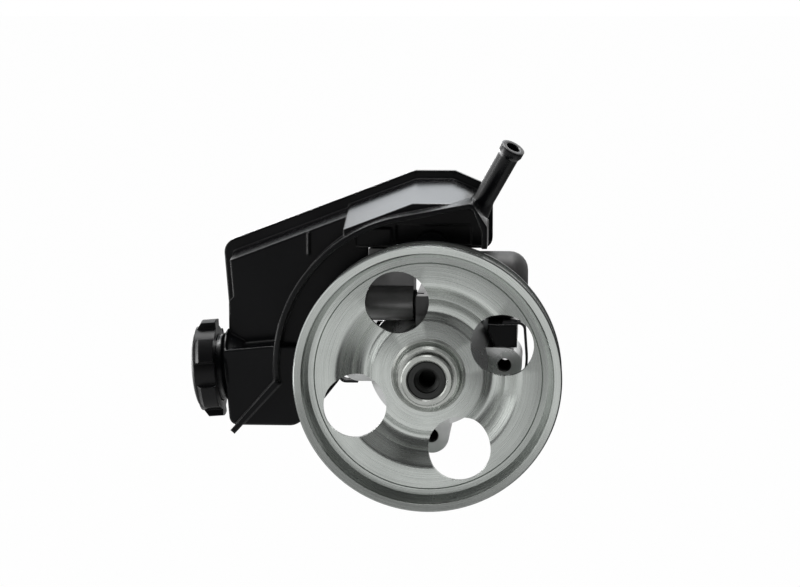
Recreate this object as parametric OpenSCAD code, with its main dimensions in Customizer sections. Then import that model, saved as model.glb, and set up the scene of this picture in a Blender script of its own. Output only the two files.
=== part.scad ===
// Power steering pump with its fluid reservoir.
// X is to the right, Z is up, and the pulley faces -Y.
// The origin is on the shaft axis, in the plane of the ears' front faces.

/* [Pulley] */
// Outer diameter of the rim
pulley_d = 125; // [115:1:135]
// Distance from the ears' front faces to the rim's front edge
pulley_standoff = 45; // [43:0.5:50]
// Number of grooves for the ribbed belt
belt_grooves = 5; // [4:1:6]
// Pitch of the belt grooves
groove_pitch = 3.56; // [3.4:0.02:3.7]
// Depth of the belt grooves
groove_depth = 2.8; // [2:0.1:3]
// Width of each edge flange of the rim
rim_flange = 2.1; // [1.5:0.1:3]
// Height of the edge flanges above the belt ribs
flange_rise = 1; // [0.5:0.1:1.5]
// Metal under the belt grooves
rim_wall = 2.4; // [2:0.1:3]
// Thickness of the web
web_sheet = 3; // [2.5:0.1:3.5]
// Depth of the outer web face behind the rim's front edge
web_depth = 9.5; // [8:0.5:11]
// Depth of the pressed channel behind the outer web face
channel_depth = 6; // [4:0.5:7]
// Outer radius of the pressed channel
channel_r = 42.5; // [40:0.5:44]
// Radius of the raised inner disc
disc_r = 25.5; // [24:0.5:28]
// Height of the inner disc above the channel floor
disc_rise = 2.5; // [1.5:0.5:4]
// Diameter of the round web holes
web_hole_d = 29.6; // [24:0.2:30]
// Radius of the circle that the web holes sit on
web_hole_pitch_r = 37.5; // [36:0.5:38.5]
// Angle of the first web hole above the X axis
web_hole_angle = 23; // [0:1:45]
// Number of web holes
web_holes = 4; // [3:1:4]

/* [Hub and shaft] */
// Diameter of the shaft at the hub and bearing
shaft_d = 18; // [16:0.5:18.5]
// Diameter of the shaft at the rotor
rotor_seat_d = 14; // [12:0.5:15]
// Diameter of the shaft's rear journal
journal_d = 11; // [9:0.5:11]
// How far the hub stands in front of the rim
hub_proud = 2.5; // [1:0.5:4]
// Diameter of the hub's front collar
hub_collar_d = 24; // [22:0.5:25]
// Diameter of the hub's shoulder
hub_shoulder_d = 30; // [28:0.5:31]
// Diameter of the hub's barrel, which the web sits on
hub_barrel_d = 28; // [26:0.5:29]
// Tap drill diameter of the shaft's M10 front thread
shaft_tap_d = 8.5; // [8:0.1:9]
// Depth of the shaft's front thread
shaft_tap_depth = 24; // [18:1:30]
// Diameter of the countersunk mouth of the shaft's thread
shaft_mouth_d = 12; // [10:0.2:13]

/* [Bearing] */
// Outer diameter of the ball bearing
bearing_d = 35; // [33:0.5:36]
// Width of the ball bearing
bearing_w = 10; // [9:0.5:11]
// Ball diameter
ball_d = 4.8; // [4.2:0.1:5]
// Number of balls
ball_count = 10; // [8:1:10]

/* [Pump body] */
// Outer diameter of the pump body
body_d = 62; // [61:0.5:66]
// Length of the body's rim behind the cover's retaining ring
rear_rim = 2; // [1.5:0.5:6]
// Diameter of the nose round the bearing
nose_d = 43; // [42:0.5:46]
// Length of the nose in front of the ears
nose_length = 17; // [16.5:0.5:18.5]
// Diameter of the chamber behind the nose
chamber_d = 52; // [50:0.5:54]
// Depth where the chamber begins behind the ears' front faces
chamber_y = 10; // [9:0.5:10.5]
// Radius from the shaft axis to the ears' threads
ear_pitch_r = 35; // [34:0.5:36]
// Outer diameter of each ear
ear_d = 17; // [15:0.5:18]
// Length of the ears along the body
ear_length = 40; // [30:0.5:42]
// Tap drill diameter of the ears' M8 threads
ear_tap_d = 6.8; // [6.4:0.1:7]

/* [Pump cartridge] */
// Thickness of the front wear plate
wear_plate_t = 5; // [4:0.5:5.5]
// Width of the cam ring
cam_w = 14; // [12:0.5:15]
// Wall of the cam ring at the narrow part of its oval bore
cam_wall = 6.4; // [5.8:0.1:7]
// How far the oval bore widens
cam_lift = 2.6; // [1.5:0.1:2.8]
// Number of vanes
vane_count = 10; // [8:2:12]
// Thickness of a vane
vane_t = 1.8; // [1.4:0.1:2]
// Radial height of a vane
vane_h = 7; // [6:0.5:8]
// Thickness of the rear pressure plate
pressure_plate_t = 6; // [5:0.5:7]
// Diameter of the dowel pins
dowel_d = 3; // [2:0.2:3]
// Thickness of the rear cover
cover_t = 6; // [5:0.5:6]
// Thickness of the cover's retaining ring
cover_ring_t = 1.6; // [1.2:0.1:1.8]

/* [Flow control valve] */
// Diameter of the valve barrel
barrel_d = 33; // [30:0.5:33]
// Distance of the barrel's domed end from the shaft axis
barrel_end_x = 46; // [44:0.5:50]
// Metal between the chamber and the barrel's neck
valve_wall = 1.5; // [1:0.1:2]
// Depth of the barrel's axis behind the ears' front faces
barrel_y = 25; // [24:0.5:26]
// Diameter of the barrel's neck, which plugs into the body
valve_neck_d = 17; // [16:0.5:18]
// Diameter of the spool's bore
spool_bore_d = 11; // [9:0.5:11]
// Length of the spool
spool_length = 14; // [12:0.5:15]
// Travel of the spool against its spring
spool_travel = 6; // [4:0.5:7]
// Tap drill diameter of the M16 outlet thread
outlet_tap_d = 14.5; // [13:0.1:15]
// Depth of the outlet thread
outlet_depth = 12; // [10:0.5:14]

/* [Reservoir] */
// Width of the welded flange round the tank
flange_w = 4; // [3:0.5:5]
// Thickness of each half of the flange
flange_t = 2.5; // [2:0.1:3]
// Wall thickness of the tank
tank_wall = 2.5; // [2:0.1:3]
// Depth of the weld plane behind the ears' front faces
weld_y = 27.5; // [27:0.5:30]
// Depth of the rear shell behind the weld plane
rear_depth = 30; // [26:0.5:36]
// Depth of the left panel's face behind the ears' front faces
panel_y = 8; // [6:0.5:9]
// How far the upper bay stands in front of the ears' front faces
bay_front = 9; // [6:0.5:11]
// How far the lower box stands in front of the ears' front faces
box_front = 12; // [11.5:0.5:14]
// Inner radius of the shroud round the pulley
shroud_r = 72.8; // [71:0.2:74]
// Thickness of the shroud
shroud_t = 2.5; // [2:0.1:3]
// How far the shroud stands in front of the ears' front faces
shroud_front = 26; // [22:0.5:30]

/* [Filler neck and cap] */
// Outer diameter of the filler neck
neck_d = 32; // [30:0.5:33]
// Bore of the filler neck
neck_bore_d = 26; // [24:0.5:26]
// Length of the neck outside the tank
neck_length = 10; // [9:0.5:11]
// Diameter over the cap's grip lobes
cap_d = 47.4; // [44:0.2:52]
// Diameter of the cap between the lobes
cap_core_d = 41; // [39:0.5:43]
// Height of the cap's grip
cap_grip_h = 10; // [9:0.5:13]
// Height of the cap's dome
cap_dome_h = 2.6; // [2:0.2:5]
// Number of grip lobes
cap_lobes = 6; // [5:1:8]
// Room between the tank's side and the cap
cap_standoff = 3.6; // [2:0.2:5]

/* [Return barb] */
// Outer diameter of the return tube
barb_d = 10.2; // [9:0.2:11]
// Bore of the return tube
barb_bore_d = 7; // [6:0.2:8]
// Length of the return tube
barb_length = 38; // [30:1:48]
// Diameter of the bead at the tube's end
bead_d = 11.8; // [11.4:0.2:13]

/* [Clips] */
// Thickness of the spring clips
clip_t = 1.2; // [0.8:0.1:1.5]
// Width of the spring clips
clip_w = 8; // [6:0.5:8]
// Height of the tank's feet on the ears
foot_h = 11; // [9:0.5:12]

/* [Hidden] */

$fn = 64;

// Clearances
press_gap = 0.02;
running_gap = 0.06;
slide_gap = 0.03;
seat_gap = 0.1;
loose_gap = 0.3;
cut = 1;

// Pulley sections, measured back from the rim's front edge
rim_r = pulley_d / 2;
rim_w = belt_grooves * groove_pitch + 2 * rim_flange;
rib_r = rim_r - flange_rise;
groove_r = rib_r - groove_depth;
rim_inner_r = groove_r - rim_wall;
lip_inner_r = rim_inner_r + 2;
lip_round = 0.6;
channel_y = web_depth + channel_depth;
disc_y = channel_y - disc_rise;
disc_blend = 5;
seam_r = rim_inner_r - 2.6;
seam_w = 0.6;

// Shaft and hub
shaft_r = shaft_d / 2;
hub_front_y = -pulley_standoff - hub_proud;
hub_bore_r = shaft_r + press_gap;
hub_groove_w = 3;
hub_collar_w = 3.2;
hub_back_gap = 4;
hub_back_y = -nose_length - hub_back_gap;
shaft_front_y = hub_front_y + 0.6;
seat_y = chamber_y - 3;

// Bearing, from the circlip back
circlip_t = 1.4;
circlip_opening = 9;
circlip_lip = 1;
bearing_front_y = -nose_length + circlip_lip + circlip_t;
bearing_back_y = bearing_front_y + bearing_w;
bearing_r = bearing_d / 2;
ball_pitch_r = (bearing_r + shaft_r) / 2;
ball_mid_y = (bearing_front_y + bearing_back_y) / 2;
race_groove_r = ball_d / 2 + 0.25;
race_gap = 0.42;
seal_r = 13;
seal_back_y = chamber_y - 4.5;

// Cartridge, from the chamber's floor back
wear_y = chamber_y;
cam_y = wear_y + wear_plate_t;
pressure_y = cam_y + cam_w;
spring_y = pressure_y + pressure_plate_t;
spring_h = 1.4;
cover_y = spring_y + spring_h;
cover_back_y = cover_y + cover_t;
body_depth = cover_back_y + cover_ring_t + rear_rim;
chamber_r = chamber_d / 2;
stack_r = chamber_r - seat_gap;
cam_r = stack_r - cam_wall;
rotor_r = cam_r - 0.5;
rotor_seat_r = rotor_seat_d / 2;
journal_r = journal_d / 2;
side_gap = 0.1;
vane_tip_r = cam_r - loose_gap;
slot_t = vane_t + 0.1;
dowel_r = dowel_d / 2;
dowel_pitch_r = (cam_r + stack_r) / 2;
shaft_back_y = spring_y - 1;
rotor_clip_t = 1;
rotor_clip_y = pressure_y + 0.3;
ring_groove_depth = 1.4;

// Body and valve
body_r = body_d / 2;
nose_r = nose_d / 2;
cone_y = -6;
shoulder_y = 4;
ear_r = ear_d / 2;
ear_angles = [0, 180, 270];
valve_neck_r = valve_neck_d / 2;
barrel_z = chamber_r + valve_neck_r + valve_wall;
cheek_x = -7;
cheek_t = 7;
cheek_front_y = -14;
cheek_top_z = barrel_z - 1;
barrel_r = barrel_d / 2;
barrel_dome_r = 9;
barrel_start_x = 20;
valve_boss_r = valve_neck_r + 3;
valve_boss_x = [-1, 7];
valve_seal_t = 1;
feed_x = 4;
feed_r = 2;
spool_r = spool_bore_d / 2 - slide_gap;
bore_end_x = barrel_end_x - 7;
spool_x = 9;
spring_r = spool_bore_d / 2 - 1.6;
spring_wire_r = 0.7;
spring_x = spool_x + spool_length;
spring_length = bore_end_x - spring_x;
spring_turns = floor((spring_length - spool_travel) / (2 * spring_wire_r) - 1);
outlet_x = 36;
outlet_boss_r = 9.5;
outlet_y = barrel_y + barrel_r + 6;

// Suction elbow
elbow_r = 8.6;
elbow_y = -3;
elbow_z = body_r - 0.5;
elbow_length = 23;
elbow_left_x = cheek_x - elbow_length;
elbow_bore_r = 5;
elbow_block_y = [elbow_y - 2, elbow_y + 21];
elbow_block_z = body_r + 0.5;
elbow_seal_w = 1.5;
tank_outlet = [cheek_x - elbow_length / 2, elbow_y + 14.8];

// Tank outline in X and Z, seen from the front, with its left side leaning by side_lean
side_lean = 4.5;
tank_left_x = -100;
tank_bottom_z = -31;
tank_top_z = 92;
tank_right_x = 28.5;
tank_under_z = barrel_z + 18;
tank_corner_z = 55.8;
tank_inner_x = -46;
crest_x = [-9.5, 10];
bay_left_x = -42;
box_top_z = 9.8;
box_right_x = -52;
cheek_step_z = 29;
side_step = 0.9;
side_x = tank_left_x + 0.4;
neck_y = 5;
neck_z = -2.9;
roof_step = 1;
roof_tilt = 10;
feet_z = ear_r;
foot_x = 41;
foot_y = 1;
foot_w = 14;
foot_depth = 13;
clip_y = 2;
weld_front_y = weld_y - flange_t;
weld_back_y = weld_y + flange_t;
rear_y = weld_y + rear_depth;

function lean_x(z) = tank_left_x - z * tan(side_lean);

// A unit vector along v
function unit(v) = v / norm(v);

// Points of an arc of radius r that rounds the corner p1 between p0 and p2
function corner(p0, p1, p2, r, n = 6) =
    let (
        a = unit(p0 - p1),
        b = unit(p2 - p1),
        half = acos(max(-1, min(1, a * b))) / 2,
        c = p1 + unit(a + b) * r / sin(half),
        s = p1 + a * r / tan(half) - c,
        e = p1 + b * r / tan(half) - c,
        a0 = atan2(s.y, s.x),
        turn = (atan2(e.y, e.x) - a0 + 540) % 360 - 180
    )
    [for (i = [0:n]) c + r * [cos(a0 + turn * i / n), sin(a0 + turn * i / n)]];

// A polygon whose corners are [x, z, radius], with each corner rounded
function rounded(pts) =
    let (n = len(pts), flat = [for (p = pts) [p.x, p.y]])
    [for (i = [0:n - 1]) each pts[i][2] > 0
        ? corner(flat[(i + n - 1) % n], flat[i], flat[(i + 1) % n], pts[i][2])
        : [flat[i]]];

// The same corners moved inwards by t, for an outline that runs anticlockwise
function inset(pts, t) =
    let (n = len(pts), flat = [for (p = pts) [p.x, p.y]])
    [for (i = [0:n - 1])
        let (
            d0 = unit(flat[i] - flat[(i + n - 1) % n]),
            d1 = unit(flat[(i + 1) % n] - flat[i]),
            n0 = [-d0.y, d0.x],
            n1 = [-d1.y, d1.x],
            p = flat[i] + (n0 + n1) * t / (1 + n0 * n1),
            r = pts[i][2],
            hollow = d0 * n1 > 0
        )
        [p.x, p.y, r == 0 ? 0 : hollow ? r + t : max(0.5, r - t)]];

tank_corners = [
    [lean_x(tank_bottom_z), tank_bottom_z, 5],
    [-62, tank_bottom_z, 9],
    [tank_inner_x, -11, 9],
    [tank_inner_x, 38, 9],
    [-34, tank_under_z, 6],
    [tank_right_x, tank_under_z, 5],
    [tank_right_x, 80, 5],
    [24, 86, 0],
    [crest_x[1], tank_top_z, 3],
    [crest_x[0], tank_top_z, 3],
    [lean_x(tank_corner_z), tank_corner_z, 7]
];
wall_corners = inset(tank_corners, flange_w);
front_corners = inset(tank_corners, flange_w + roof_step);

// The upper bay's outline at the weld plane; its roof drops towards the front
bay_drop = 9.5;
bay_tilt = atan(bay_drop / (weld_front_y + bay_front));
bay_foot_z = wall_corners[4].y;
bay_low_z = bay_foot_z - 40;
bay_slope = (tank_top_z - tank_corner_z) / (crest_x[0] - lean_x(tank_corner_z));
bay_corners = [
    [bay_left_x, bay_low_z, 0],
    [wall_corners[6].x, bay_low_z, 0],
    [wall_corners[6].x, wall_corners[6].y, 0],
    [wall_corners[7].x, wall_corners[7].y, 0],
    [wall_corners[8].x, wall_corners[8].y, 0],
    [wall_corners[9].x, wall_corners[9].y, 0],
    [bay_left_x, wall_corners[9].y - (wall_corners[9].x - bay_left_x) * bay_slope, 0]
];

box_corners = [
    [lean_x(tank_bottom_z) + side_step, tank_bottom_z + 2.5, 4],
    [-64, tank_bottom_z + 2.5, 8],
    [box_right_x, -14, 8],
    [box_right_x, box_top_z, 0],
    [-78, box_top_z, 0],
    [lean_x(box_top_z) + side_step, box_top_z - 2.2, 1]
];

// Below a step, the front shell's left side stands almost as far out as the flange
side_corners = [
    [side_x, tank_bottom_z + 6, 0],
    [-85, tank_bottom_z + 6, 0],
    [-85, cheek_step_z + 3, 0],
    [side_x + 3, cheek_step_z + 3, 0],
    [side_x, cheek_step_z, 0]
];

// A revolved section of [radius, y] points about the shaft axis
module turned(section) {
    rotate([-90, 0, 0])
        rotate_extrude()
            polygon(section);
}

// A round bar on the shaft's direction, from y0 to y1
module bar_y(r, y0, y1) {
    translate([0, y0, 0])
        rotate([-90, 0, 0])
            cylinder(r = r, h = y1 - y0);
}

// A plain ring about the shaft axis
module ring_y(r_in, r_out, y0, y1) {
    turned([[r_in, y0], [r_out, y0], [r_out, y1], [r_in, y1]]);
}

// A round bar along X
module bar_x(r, x0, x1) {
    translate([x0, 0, 0])
        rotate([0, 90, 0])
            cylinder(r = r, h = x1 - x0);
}

// An outline in X and Z, stretched from y0 to y1
module slab(y0, y1) {
    translate([0, y1, 0])
        rotate([90, 0, 0])
            linear_extrude(y1 - y0)
                children();
}

// An outline of [x, z, radius] corners, stretched from y0 to y1
module panel(corners, y0, y1) {
    slab(y0, y1)
        polygon(rounded(corners));
}

// The bay's outline moved inwards by t, stretched forwards along the roof's slope
module bay(t, y0, y1) {
    intersection() {
        translate([0, weld_front_y, bay_foot_z])
            rotate([bay_tilt, 0, 0])
                slab(-bay_reach, bay_reach)
                    polygon([for (c = inset(bay_corners, t)) [c.x, (c.y - bay_foot_z) * cos(bay_tilt)]]);
        translate([bay_left_x - cut, y0, bay_foot_z + t])
            cube([tank_right_x - bay_left_x, y1 - y0, tank_top_z]);
    }
}

// Places its children along the filler neck's axis, which leaves the tank's left side
module on_neck() {
    translate([lean_x(neck_z), neck_y, neck_z])
        rotate([0, -90 - side_lean, 0])
            children();
}

// Places its children along the return barb, which rises from the bay's right slope
module on_barb() {
    translate(barb_foot)
        rotate(barb_lean)
            children();
}

// Points of a soft step from [r0, y0] to [r1, y1]
function soft_step(r0, y0, r1, y1, n = 8) =
    [for (i = [0:n]) [r0 + (r1 - r0) * i / n, y0 + (y1 - y0) * (1 - cos(180 * i / n)) / 2]];

// Points of a bowl's side, from its flat floor at [r0, y0] to its steep edge at [r1, y1]
function bowl(r0, y0, r1, y1, n = 8) =
    [for (i = [1:n]) [r0 + (r1 - r0) * i / n, y0 + (y1 - y0) * (1 - cos(90 * i / n))]];

function groove_points() =
    [for (i = [0:belt_grooves - 1])
        let (y = rim_flange + i * groove_pitch)
        each [
            [rib_r, y + 0.12 * groove_pitch],
            [groove_r, y + 0.42 * groove_pitch],
            [groove_r, y + 0.58 * groove_pitch],
            [rib_r, y + 0.88 * groove_pitch]
        ]];

// The pressed web's front face, from the hub out to the flat ring, with a rounded outer edge
function web_face() =
    let (floor_r = disc_r + disc_blend, edge = 0.5)
    concat(
        [[hub_barrel_d / 2 + press_gap, disc_y]],
        soft_step(disc_r, disc_y, floor_r, channel_y),
        bowl(floor_r, channel_y, channel_r, web_depth + edge),
        [[channel_r + 0.8, web_depth + edge / 4], [channel_r + 1.8, web_depth]]
    );

function pulley_section() =
    let (back = web_sheet, thin = 1, face = web_face())
    concat(
        [[rim_r - lip_round, 0], [rim_r, lip_round], [rim_r, rim_flange]],
        groove_points(),
        [[rim_r, rim_w - rim_flange], [rim_r, rim_w - lip_round], [rim_r - lip_round, rim_w]],
        [[rim_inner_r + thin, rim_w], [rim_inner_r, rim_w - thin]],
        [[rim_inner_r, web_depth + back + thin], [rim_inner_r - thin, web_depth + back]],
        [for (i = [len(face) - 1:-1:0]) face[i] + [0, back]],
        face,
        [[seam_r - seam_w, web_depth], [seam_r - seam_w / 2, web_depth + seam_w]],
        [[seam_r, web_depth], [rim_inner_r, web_depth], [lip_inner_r, lip_round]],
        [[lip_inner_r + lip_round, 0]]
    );

module pulley() {
    color([0.70, 0.72, 0.69])
        translate([0, -pulley_standoff, 0])
            difference() {
                turned(pulley_section());
                for (i = [0:web_holes - 1])
                    rotate([0, -web_hole_angle - i * 360 / web_holes, 0])
                        translate([web_hole_pitch_r, 0, 0])
                            bar_y(web_hole_d / 2, web_depth - cut, channel_y + web_sheet + cut);
            }
}

function hub_section() =
    let (
        collar = hub_collar_d / 2,
        shoulder = hub_shoulder_d / 2,
        barrel = hub_barrel_d / 2,
        front = hub_front_y,
        groove_y = front + hub_collar_w,
        shoulder_front = groove_y + hub_groove_w,
        disc_front = -pulley_standoff + disc_y,
        foot = shoulder + 2.5,
        groove = collar - 1.6,
        edge = 0.6
    )
    [
        [hub_bore_r, front + edge], [hub_bore_r + edge, front], [collar - edge, front],
        [collar, front + edge], [collar, groove_y], [groove, groove_y],
        [groove, shoulder_front], [shoulder - 2 * edge, shoulder_front],
        [shoulder, shoulder_front + 2 * edge], [shoulder, disc_front - 3],
        [shoulder + 0.8, disc_front - 1.2], [foot, disc_front], [barrel, disc_front],
        [barrel, hub_back_y - edge], [barrel - edge, hub_back_y], [hub_bore_r, hub_back_y]
    ];

module pulley_hub() {
    color([0.74, 0.75, 0.72])
        turned(hub_section());
}

function shaft_section() =
    let (edge = 0.5)
    [
        [0, shaft_front_y + shaft_tap_depth], [shaft_tap_d / 2, shaft_front_y + shaft_tap_depth],
        [shaft_tap_d / 2, shaft_front_y + 4], [shaft_mouth_d / 2, shaft_front_y + 2.8],
        [shaft_mouth_d / 2, shaft_front_y], [shaft_r - edge, shaft_front_y],
        [shaft_r, shaft_front_y + edge], [shaft_r, seat_y], [rotor_seat_r, seat_y],
        [rotor_seat_r, pressure_y], [journal_r, pressure_y],
        [journal_r, rotor_clip_y], [journal_r - 0.8, rotor_clip_y],
        [journal_r - 0.8, rotor_clip_y + rotor_clip_t], [journal_r, rotor_clip_y + rotor_clip_t],
        [journal_r, shaft_back_y], [0, shaft_back_y]
    ];

module pump_shaft() {
    color([0.45, 0.46, 0.46])
        turned(shaft_section());
}

// Outside of the casting, from the nose to the rear rim
function body_section() =
    [
        [0, -nose_length], [nose_r - 1, -nose_length], [nose_r, -nose_length + 1], [nose_r, cone_y],
        [body_r - 1, shoulder_y - 1], [body_r, shoulder_y], [body_r, body_depth - 1],
        [body_r - 1, body_depth], [0, body_depth]
    ];

// Everything that is bored out of the casting on the shaft axis
function bored_section() =
    let (clip_r = bearing_r + 1.1, ring_r = chamber_r + ring_groove_depth, fit = seat_gap / 2)
    [
        [0, -nose_length - cut], [bearing_r + fit, -nose_length - cut],
        [bearing_r + fit, bearing_front_y - circlip_t], [clip_r, bearing_front_y - circlip_t],
        [clip_r, bearing_front_y], [bearing_r + fit, bearing_front_y],
        [bearing_r + fit, bearing_back_y], [seal_r + fit, bearing_back_y],
        [seal_r + fit, seal_back_y], [shaft_r + loose_gap, seal_back_y],
        [shaft_r + loose_gap, chamber_y], [chamber_r, chamber_y], [chamber_r, cover_back_y],
        [ring_r, cover_back_y], [ring_r, cover_back_y + cover_ring_t],
        [chamber_r, cover_back_y + cover_ring_t], [chamber_r, body_depth + cut],
        [0, body_depth + cut]
    ];

module ear_place() {
    for (a = ear_angles)
        rotate([0, -a, 0])
            children();
}

// Suction port in the cheek, back along the body and down to the chamber
module suction_passage() {
    drop_y = cam_y + 4;
    mid_x = cheek_x + cheek_t / 2;
    translate([0, elbow_y, elbow_z])
        bar_x(elbow_bore_r, cheek_x - cut, mid_x);
    translate([mid_x, 0, elbow_z - 1])
        bar_y(feed_r, elbow_y, drop_y);
    translate([mid_x, drop_y, chamber_r - 2])
        cylinder(r = feed_r, h = elbow_z + 1 - chamber_r);
}

module pump_housing() {
    color([0.72, 0.73, 0.72])
        difference() {
            union() {
                turned(body_section());
                ear_place() {
                    translate([ear_pitch_r, 0, 0])
                        bar_y(ear_r, 0, ear_length);
                    translate([0, 0, -ear_r])
                        cube([ear_pitch_r, ear_length, ear_d]);
                }
                // Cheek with the suction port on its left
                translate([cheek_x, cheek_front_y, 0])
                    cube([cheek_t, barrel_y + valve_boss_r - cheek_front_y, cheek_top_z]);
                // Boss that the valve's neck plugs into, with a web down to the body
                translate([0, barrel_y, barrel_z])
                    bar_x(valve_boss_r, valve_boss_x[0], valve_boss_x[1]);
                translate([valve_boss_x[0], barrel_y - valve_boss_r, 0])
                    cube([valve_boss_x[1] - valve_boss_x[0], 2 * valve_boss_r, barrel_z]);
            }
            turned(bored_section());
            ear_place()
                translate([ear_pitch_r, 0, 0])
                    bar_y(ear_tap_d / 2, -cut, ear_length + cut);
            suction_passage();
            // Room for the elbow in front of the chamber
            translate([0, elbow_y, elbow_z])
                bar_x(elbow_r + loose_gap, -body_r, cheek_x);
            // Seat of the valve's neck, open to the chamber below, and room for its barrel
            translate([0, barrel_y, barrel_z]) {
                bar_x(valve_neck_r + seat_gap, 0, barrel_end_x);
                bar_x(barrel_r + loose_gap, barrel_start_x - loose_gap, barrel_end_x);
            }
            translate([feed_x, barrel_y, chamber_r - 2])
                cylinder(r = feed_r, h = barrel_z - chamber_r);
        }
}

// One race of the bearing between two radii, with the ball groove cut from it
module race(r_in, r_out) {
    difference() {
        ring_y(r_in, r_out, bearing_front_y, bearing_back_y);
        translate([0, ball_mid_y, 0])
            rotate([-90, 0, 0])
                rotate_extrude()
                    translate([ball_pitch_r, 0])
                        circle(r = race_groove_r);
    }
}

module bearing_outer_race() {
    color([0.62, 0.63, 0.64])
        race(ball_pitch_r + ball_d * race_gap, bearing_r);
}

module bearing_inner_race() {
    color([0.62, 0.63, 0.64])
        race(shaft_r + press_gap, ball_pitch_r - ball_d * race_gap);
}

module ball_places() {
    for (i = [0:ball_count - 1])
        rotate([0, i * 360 / ball_count, 0])
            translate([ball_pitch_r, ball_mid_y, 0])
                children();
}

module bearing_balls() {
    color([0.8, 0.8, 0.82])
        ball_places()
            sphere(d = ball_d);
}

module bearing_cage() {
    cage_half_t = ball_d * race_gap - 0.4;
    cage_half_w = bearing_w / 2 - 1;
    color([0.65, 0.5, 0.25])
        difference() {
            ring_y(ball_pitch_r - cage_half_t, ball_pitch_r + cage_half_t,
                ball_mid_y - cage_half_w, ball_mid_y + cage_half_w);
            ball_places()
                bar_x(ball_d / 2 + seat_gap, -ball_d, ball_d);
        }
}

// A retaining ring with an open gap of the given width at its top
module open_ring(r_in, r_out, y0, y1, gap) {
    difference() {
        ring_y(r_in, r_out, y0, y1);
        translate([-gap / 2, y0 - cut, 0])
            cube([gap, y1 - y0 + 2 * cut, r_out + cut]);
    }
}

module bearing_circlip() {
    color([0.3, 0.3, 0.32])
        open_ring(bearing_r - 1.8, bearing_r + 1, bearing_front_y - circlip_t + press_gap,
            bearing_front_y - press_gap, circlip_opening);
}

module shaft_seal() {
    lip_r = shaft_r + running_gap;
    color([0.1, 0.1, 0.1])
        turned([
            [seal_r - 1.2, bearing_back_y + 0.2], [seal_r, bearing_back_y + 0.2],
            [seal_r, seal_back_y - 0.05], [lip_r + 0.6, seal_back_y - 0.05],
            [lip_r, seal_back_y - 1], [lip_r, seal_back_y - 1.6],
            [lip_r + 1, seal_back_y - 1.6], [seal_r - 1.2, seal_back_y - 1.6]
        ]);
}

// Two pairs of curved ports through a plate, at the cam ring's lobes
module plate_ports(y0, y1) {
    for (a = [45:90:315])
        for (i = [-1:1])
            rotate([0, a + i * 9, 0])
                translate([rotor_r + 0.5, 0, 0])
                    bar_y(1.8, y0 - cut, y1 + cut);
}

module dowel_places() {
    for (side = [-1, 1])
        translate([side * dowel_pitch_r, 0, 0])
            children();
}

module side_plate(y0, y1, bore_r) {
    difference() {
        ring_y(bore_r, stack_r, y0, y1);
        plate_ports(y0, y1);
        dowel_places()
            bar_y(dowel_r + slide_gap, y0 - cut, y1 + cut);
    }
}

module wear_plate() {
    color([0.55, 0.55, 0.52])
        side_plate(wear_y, cam_y, rotor_seat_r + loose_gap);
}

// The cam ring's oval bore: narrow at the dowels, wide between them
function cam_bore() =
    [for (a = [0:5:355])
        (cam_r + cam_lift * pow(sin(a), 2)) * [cos(a), sin(a)]];

module cam_ring() {
    color([0.5, 0.5, 0.5])
        difference() {
            bar_y(stack_r, cam_y, pressure_y);
            slab(cam_y - cut, pressure_y + cut)
                polygon(cam_bore());
            dowel_places()
                bar_y(dowel_r + slide_gap, cam_y - cut, pressure_y + cut);
        }
}

module vane_places() {
    for (i = [0:vane_count - 1])
        rotate([0, (i + 0.5) * 360 / vane_count, 0])
            children();
}

module rotor() {
    color([0.56, 0.56, 0.58])
        difference() {
            ring_y(rotor_seat_r + press_gap, rotor_r, cam_y + side_gap, pressure_y - side_gap);
            vane_places() {
                translate([rotor_r - vane_h, cam_y - cut, -slot_t / 2])
                    cube([vane_h + cut, cam_w + 2 * cut, slot_t]);
                translate([rotor_r - vane_h, 0, 0])
                    bar_y(slot_t * 0.7, cam_y - cut, pressure_y + cut);
            }
        }
}

module vanes() {
    color([0.75, 0.75, 0.76])
        vane_places()
            translate([vane_tip_r - vane_h, cam_y + side_gap, -vane_t / 2])
                cube([vane_h, cam_w - 2 * side_gap, vane_t]);
}

module rotor_clip() {
    color([0.3, 0.3, 0.32])
        open_ring(journal_r - 0.7, journal_r + 1, rotor_clip_y + press_gap,
            rotor_clip_y + rotor_clip_t - press_gap, 4);
}

module pressure_plate() {
    well = rotor_clip_t + 1;
    color([0.55, 0.55, 0.52])
        difference() {
            side_plate(pressure_y, spring_y, journal_r + running_gap);
            bar_y(journal_r + 1.6, pressure_y - cut, rotor_clip_y + well);
        }
}

module plate_spring() {
    outer = chamber_r - 5;
    inner = outer - 6;
    sheet = 0.8;
    color([0.35, 0.36, 0.38])
        turned([[inner, spring_y], [outer, spring_y + spring_h - sheet],
            [outer, spring_y + spring_h], [inner, spring_y + sheet]]);
}

module dowel_pins() {
    color([0.7, 0.7, 0.72])
        dowel_places()
            bar_y(dowel_r, wear_y + 1, spring_y - 1);
}

cover_seal_r = 1.3;
cover_seal_y = cover_y + cover_t / 2;

module rear_cover() {
    cover_r = chamber_r - seat_gap;
    color([0.42, 0.43, 0.43])
        difference() {
            union() {
                ring_y(0, cover_r, cover_y, cover_back_y);
                // Shallow dome pressed in the middle
                turned([[0, cover_back_y], [chamber_r - 9, cover_back_y],
                    [chamber_r - 11, cover_back_y + 2], [0, cover_back_y + 2]]);
            }
            ring_y(chamber_r - 2 * cover_seal_r - 0.15, chamber_r + cut,
                cover_seal_y - cover_seal_r - 0.3, cover_seal_y + cover_seal_r + 0.3);
        }
}

module cover_seal() {
    color([0.08, 0.08, 0.08])
        translate([0, cover_seal_y, 0])
            rotate([-90, 0, 0])
                rotate_extrude()
                    translate([chamber_r - cover_seal_r - 0.05, 0])
                        circle(r = cover_seal_r);
}

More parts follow.
